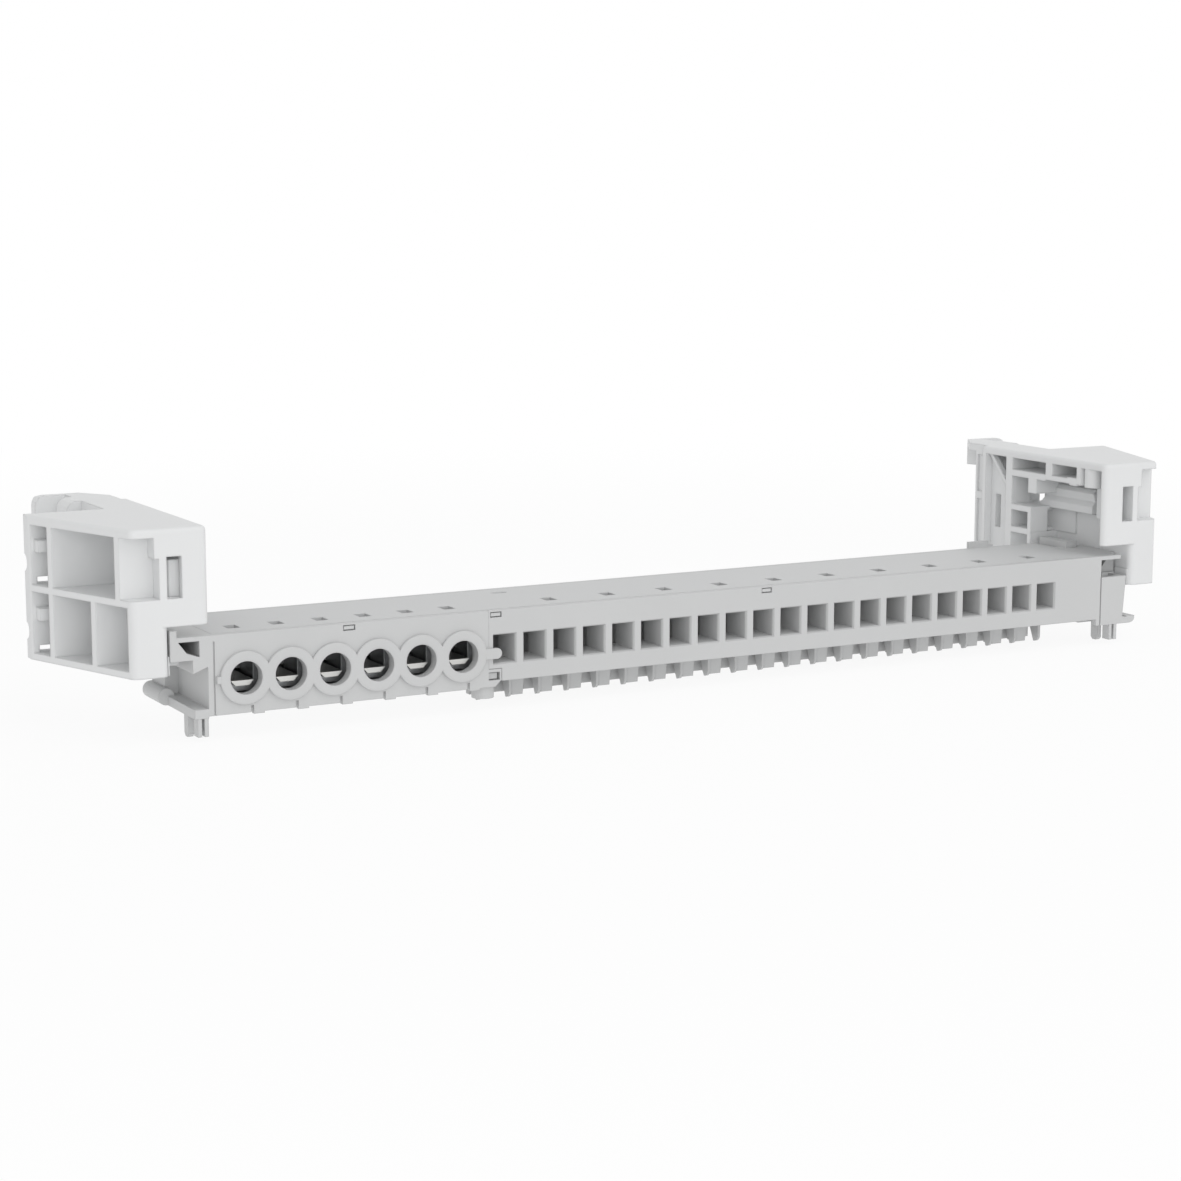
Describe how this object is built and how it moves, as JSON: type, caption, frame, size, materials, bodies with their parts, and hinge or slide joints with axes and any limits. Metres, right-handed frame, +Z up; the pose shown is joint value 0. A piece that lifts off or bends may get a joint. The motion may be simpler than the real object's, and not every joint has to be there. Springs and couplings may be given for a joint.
{
  "type": "neutral terminal block",
  "caption": "Long neutral terminal bar with round screw-clamp cable bores, a row of square plug-in entries with release pushers, and a moulded holder hooked on each end.",
  "frame": {"origin": "middle of the bar's length and of the whole depth, at the height of the solid foot pins' tips", "axes": "+X along the bar towards the plug entries, -Y out of the cable bores, +Z up towards the cover"},
  "size_m": [0.2928, 0.0686, 0.0459],
  "materials": {
    "housing_plastic": "light grey moulded plastic",
    "cover_plastic": "light grey moulded plastic, flat plate",
    "holder_plastic": "paler grey moulded plastic",
    "pusher_plastic": "light grey moulded plastic",
    "tinned_copper": "tin-plated copper, drawn",
    "clamp_steel": "zinc-plated pressed steel",
    "screw_steel": "zinc-plated, turned",
    "spring_steel": "rolled spring steel"
  },
  "bodies": {
    "block": {"screw_housing": "housing_plastic", "plug_housing": "housing_plastic", "cover": "cover_plastic", "busbar": "tinned_copper", "clamp_frame_1": "clamp_steel", "clamp_frame_2": "clamp_steel", "clamp_frame_3": "clamp_steel", "clamp_frame_4": "clamp_steel", "clamp_frame_5": "clamp_steel", "clamp_frame_6": "clamp_steel", "clamp_screws": "screw_steel", "spring_01": "spring_steel", "spring_02": "spring_steel", "spring_03": "spring_steel", "spring_04": "spring_steel", "spring_05": "spring_steel", "spring_06": "spring_steel", "spring_07": "spring_steel", "spring_08": "spring_steel", "spring_09": "spring_steel", "spring_10": "spring_steel", "spring_11": "spring_steel", "spring_12": "spring_steel", "spring_13": "spring_steel", "spring_14": "spring_steel", "spring_15": "spring_steel", "spring_16": "spring_steel", "spring_17": "spring_steel", "spring_18": "spring_steel", "spring_19": "spring_steel", "spring_20": "spring_steel", "spring_21": "spring_steel", "holder_left": "holder_plastic", "holder_right": "holder_plastic"},
    "release_01": {"pusher_01": "pusher_plastic"},
    "release_02": {"pusher_02": "pusher_plastic"},
    "release_03": {"pusher_03": "pusher_plastic"},
    "release_04": {"pusher_04": "pusher_plastic"},
    "release_05": {"pusher_05": "pusher_plastic"},
    "release_06": {"pusher_06": "pusher_plastic"},
    "release_07": {"pusher_07": "pusher_plastic"},
    "release_08": {"pusher_08": "pusher_plastic"},
    "release_09": {"pusher_09": "pusher_plastic"},
    "release_10": {"pusher_10": "pusher_plastic"},
    "release_11": {"pusher_11": "pusher_plastic"},
    "release_12": {"pusher_12": "pusher_plastic"},
    "release_13": {"pusher_13": "pusher_plastic"},
    "release_14": {"pusher_14": "pusher_plastic"},
    "release_15": {"pusher_15": "pusher_plastic"},
    "release_16": {"pusher_16": "pusher_plastic"},
    "release_17": {"pusher_17": "pusher_plastic"},
    "release_18": {"pusher_18": "pusher_plastic"},
    "release_19": {"pusher_19": "pusher_plastic"},
    "release_20": {"pusher_20": "pusher_plastic"},
    "release_21": {"pusher_21": "pusher_plastic"}
  },
  "joints": [
    {"name": "release_01_slide", "type": "slide", "parent": "block", "child": "release_01", "axis": [0, 0, 1], "range_m": [0, 0.0016], "stiffness_N_per_m": 500, "springref_m": -0.001},
    {"name": "release_02_slide", "type": "slide", "parent": "block", "child": "release_02", "axis": [0, 0, 1], "range_m": [0, 0.0016], "stiffness_N_per_m": 500, "springref_m": -0.001},
    {"name": "release_03_slide", "type": "slide", "parent": "block", "child": "release_03", "axis": [0, 0, 1], "range_m": [0, 0.0016], "stiffness_N_per_m": 500, "springref_m": -0.001},
    {"name": "release_04_slide", "type": "slide", "parent": "block", "child": "release_04", "axis": [0, 0, 1], "range_m": [0, 0.0016], "stiffness_N_per_m": 500, "springref_m": -0.001},
    {"name": "release_05_slide", "type": "slide", "parent": "block", "child": "release_05", "axis": [0, 0, 1], "range_m": [0, 0.0016], "stiffness_N_per_m": 500, "springref_m": -0.001},
    {"name": "release_06_slide", "type": "slide", "parent": "block", "child": "release_06", "axis": [0, 0, 1], "range_m": [0, 0.0016], "stiffness_N_per_m": 500, "springref_m": -0.001},
    {"name": "release_07_slide", "type": "slide", "parent": "block", "child": "release_07", "axis": [0, 0, 1], "range_m": [0, 0.0016], "stiffness_N_per_m": 500, "springref_m": -0.001},
    {"name": "release_08_slide", "type": "slide", "parent": "block", "child": "release_08", "axis": [0, 0, 1], "range_m": [0, 0.0016], "stiffness_N_per_m": 500, "springref_m": -0.001},
    {"name": "release_09_slide", "type": "slide", "parent": "block", "child": "release_09", "axis": [0, 0, 1], "range_m": [0, 0.0016], "stiffness_N_per_m": 500, "springref_m": -0.001},
    {"name": "release_10_slide", "type": "slide", "parent": "block", "child": "release_10", "axis": [0, 0, 1], "range_m": [0, 0.0016], "stiffness_N_per_m": 500, "springref_m": -0.001},
    {"name": "release_11_slide", "type": "slide", "parent": "block", "child": "release_11", "axis": [0, 0, 1], "range_m": [0, 0.0016], "stiffness_N_per_m": 500, "springref_m": -0.001},
    {"name": "release_12_slide", "type": "slide", "parent": "block", "child": "release_12", "axis": [0, 0, 1], "range_m": [0, 0.0016], "stiffness_N_per_m": 500, "springref_m": -0.001},
    {"name": "release_13_slide", "type": "slide", "parent": "block", "child": "release_13", "axis": [0, 0, 1], "range_m": [0, 0.0016], "stiffness_N_per_m": 500, "springref_m": -0.001},
    {"name": "release_14_slide", "type": "slide", "parent": "block", "child": "release_14", "axis": [0, 0, 1], "range_m": [0, 0.0016], "stiffness_N_per_m": 500, "springref_m": -0.001},
    {"name": "release_15_slide", "type": "slide", "parent": "block", "child": "release_15", "axis": [0, 0, 1], "range_m": [0, 0.0016], "stiffness_N_per_m": 500, "springref_m": -0.001},
    {"name": "release_16_slide", "type": "slide", "parent": "block", "child": "release_16", "axis": [0, 0, 1], "range_m": [0, 0.0016], "stiffness_N_per_m": 500, "springref_m": -0.001},
    {"name": "release_17_slide", "type": "slide", "parent": "block", "child": "release_17", "axis": [0, 0, 1], "range_m": [0, 0.0016], "stiffness_N_per_m": 500, "springref_m": -0.001},
    {"name": "release_18_slide", "type": "slide", "parent": "block", "child": "release_18", "axis": [0, 0, 1], "range_m": [0, 0.0016], "stiffness_N_per_m": 500, "springref_m": -0.001},
    {"name": "release_19_slide", "type": "slide", "parent": "block", "child": "release_19", "axis": [0, 0, 1], "range_m": [0, 0.0016], "stiffness_N_per_m": 500, "springref_m": -0.001},
    {"name": "release_20_slide", "type": "slide", "parent": "block", "child": "release_20", "axis": [0, 0, 1], "range_m": [0, 0.0016], "stiffness_N_per_m": 500, "springref_m": -0.001},
    {"name": "release_21_slide", "type": "slide", "parent": "block", "child": "release_21", "axis": [0, 0, 1], "range_m": [0, 0.0016], "stiffness_N_per_m": 500, "springref_m": -0.001}
  ]
}
